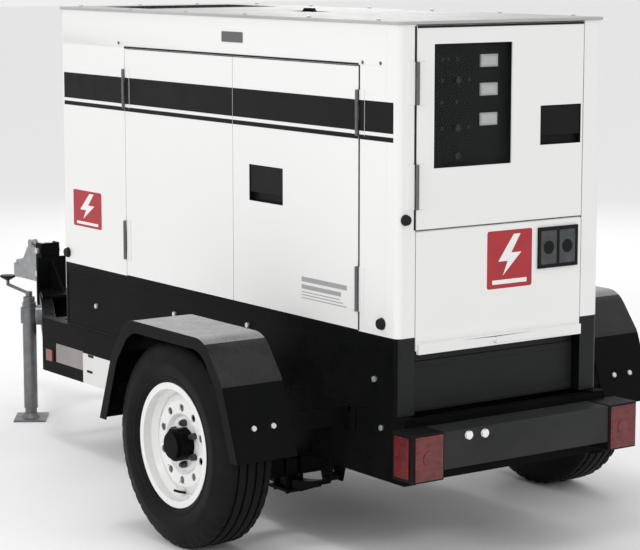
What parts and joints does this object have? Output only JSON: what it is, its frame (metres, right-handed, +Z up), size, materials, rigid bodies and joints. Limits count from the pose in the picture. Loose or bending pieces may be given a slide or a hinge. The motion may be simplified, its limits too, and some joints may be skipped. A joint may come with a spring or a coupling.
{
  "type": "towable diesel generator",
  "caption": "Sound-attenuated diesel generator on a single-axle trailer with side doors, control door, swivel jack and ball coupler.",
  "frame": {"origin": "on the ground under the centre of the bounding box", "axes": "+X to the rear (tail lamps), -X to the hitch, -Y to the left side seen from behind, +Z up"},
  "size_m": [3.5, 1.77, 1.7455],
  "materials": {
    "white_paint": "satin",
    "black_paint": "semi-gloss",
    "charcoal_panel": "satin",
    "wheel_white": "gloss",
    "zinc_steel": "satin",
    "bare_cast": "matt",
    "alu_core": "satin",
    "tyre_rubber": "matt",
    "soft_rubber": "matt",
    "black_plastic": "matt",
    "lens_red": "gloss",
    "lens_clear": "gloss",
    "lens_amber": "gloss",
    "tinted_window": "gloss",
    "meter_grey": "matt",
    "plate_grey": "satin"
  },
  "bodies": {
    "body": {"air_cleaner": "black_plastic", "alternator": "bare_cast", "axle_beam": "black_paint", "axle_braces": "black_paint", "battery": "black_plastic", "bumper": "black_paint", "control_box": "charcoal_panel", "coupler_body": "zinc_steel", "data_plates": "plate_grey", "engine_block": "bare_cast", "engine_head": "bare_cast", "fender_brackets": "black_paint", "fenders": "black_paint", "frame_crossmembers": "black_paint", "frame_rails": "black_paint", "front_wall": "white_paint", "fuel_tank": "black_paint", "hex_bolts": "zinc_steel", "hitch_channel": "black_paint", "jack_mount": "black_paint", "lamp_housings": "black_plastic", "lamp_lenses": "lens_red", "leaf_springs": "black_paint", "licence_lamps": "lens_clear", "lifting_frame": "black_paint", "muffler": "zinc_steel", "panel_meters": "meter_grey", "radiator": "alu_core", "rear_frame": "white_paint", "roof_grille": "black_paint", "roof_panel": "white_paint", "rubber_plugs": "soft_rubber", "side_reflectors": "lens_amber", "side_wall_left": "white_paint", "side_wall_right": "white_paint", "spring_mounts": "black_paint", "tank_cover": "charcoal_panel", "tongue_frame": "black_paint"},
    "left_wheel": {"left_tyre": "tyre_rubber", "left_rim": "wheel_white", "left_hub": "black_paint"},
    "right_wheel": {"right_tyre": "tyre_rubber", "right_rim": "wheel_white", "right_hub": "black_paint"},
    "jack": {"jack_tube": "zinc_steel"},
    "jack_foot_leg": {"jack_leg": "zinc_steel"},
    "jack_handle": {"jack_crank": "zinc_steel"},
    "coupler_lever": {"coupler_latch": "zinc_steel"},
    "door_lf": {"door_left_front": "white_paint"},
    "door_lr": {"door_left_rear": "white_paint"},
    "door_rf": {"door_right_front": "white_paint"},
    "door_rr": {"door_right_rear": "white_paint"},
    "paddle_left": {"latch_left": "black_plastic"},
    "paddle_right": {"latch_right": "black_plastic"},
    "control_leaf": {"control_door": "white_paint", "control_window": "tinted_window"},
    "paddle_control": {"control_latch": "black_plastic"},
    "terminal_leaf": {"terminal_door": "white_paint", "socket_windows": "black_plastic"},
    "fan": {"cooling_fan": "black_plastic"}
  },
  "joints": [
    {"name": "left_wheel_spin", "type": "hinge", "parent": "body", "child": "left_wheel", "pos_m": [0.96, -0.7715, 0.344], "axis": [0, 1, 0], "continuous": true},
    {"name": "right_wheel_spin", "type": "hinge", "parent": "body", "child": "right_wheel", "pos_m": [0.96, 0.7715, 0.344], "axis": [0, 1, 0], "continuous": true},
    {"name": "jack_swivel", "type": "hinge", "parent": "body", "child": "jack", "pos_m": [-1.11, -0.29, 0.44], "axis": [-0.5446, -0.8387, 0], "range_deg": [0, 90]},
    {"name": "jack_extend", "type": "slide", "parent": "jack", "child": "jack_foot_leg", "axis": [0, 0, -1], "range_m": [0, 0.25]},
    {"name": "jack_crank_turn", "type": "hinge", "parent": "jack", "child": "jack_handle", "pos_m": [-1.11, -0.29, 0.53], "axis": [0, 0, 1], "range_deg": [0, 7200]},
    {"name": "coupler_lever_lift", "type": "hinge", "parent": "body", "child": "coupler_lever", "pos_m": [-1.616, 0, 0.668], "axis": [0, -1, 0], "range_deg": [0, 80]},
    {"name": "door_left_front_swing", "type": "hinge", "parent": "body", "child": "door_lf", "pos_m": [-0.0685, -0.429, 1.1675], "axis": [0, 0, -1], "range_deg": [0, 110]},
    {"name": "door_left_rear_swing", "type": "hinge", "parent": "body", "child": "door_lr", "pos_m": [1.3935, -0.429, 1.1675], "axis": [0, 0, 1], "range_deg": [0, 110]},
    {"name": "door_right_front_swing", "type": "hinge", "parent": "body", "child": "door_rf", "pos_m": [-0.0685, 0.429, 1.1675], "axis": [0, 0, 1], "range_deg": [0, 110]},
    {"name": "door_right_rear_swing", "type": "hinge", "parent": "body", "child": "door_rr", "pos_m": [1.3935, 0.429, 1.1675], "axis": [0, 0, -1], "range_deg": [0, 110]},
    {"name": "latch_left_lift", "type": "hinge", "parent": "door_lr", "child": "paddle_left", "pos_m": [0.866, -0.414, 1.2195], "axis": [-1, 0, 0], "range_deg": [0, 40], "stiffness_Nm_per_rad": 0.4, "springref_deg": -28.65},
    {"name": "latch_right_lift", "type": "hinge", "parent": "door_rr", "child": "paddle_right", "pos_m": [0.866, 0.414, 1.2195], "axis": [1, 0, 0], "range_deg": [0, 40], "stiffness_Nm_per_rad": 0.4, "springref_deg": -28.65},
    {"name": "control_door_swing", "type": "hinge", "parent": "body", "child": "control_leaf", "pos_m": [1.607, -0.3505, 1.4], "axis": [0, 0, -1], "range_deg": [0, 110]},
    {"name": "control_latch_lift", "type": "hinge", "parent": "control_leaf", "child": "paddle_control", "pos_m": [1.592, 0.2435, 1.4425], "axis": [0, -1, 0], "range_deg": [0, 40], "stiffness_Nm_per_rad": 0.4, "springref_deg": -28.65},
    {"name": "terminal_door_lift", "type": "hinge", "parent": "body", "child": "terminal_leaf", "pos_m": [1.5875, -0.005, 1.0625], "axis": [0, -1, 0], "range_deg": [0, 75]},
    {"name": "fan_spin", "type": "hinge", "parent": "body", "child": "fan", "pos_m": [-0.36, 0, 1.0235], "axis": [1, 0, 0], "continuous": true}
  ],
  "couplings": [
    {"joint": "jack_extend", "follows": "jack_crank_turn", "m_per_rad": 0.0019894}
  ]
}
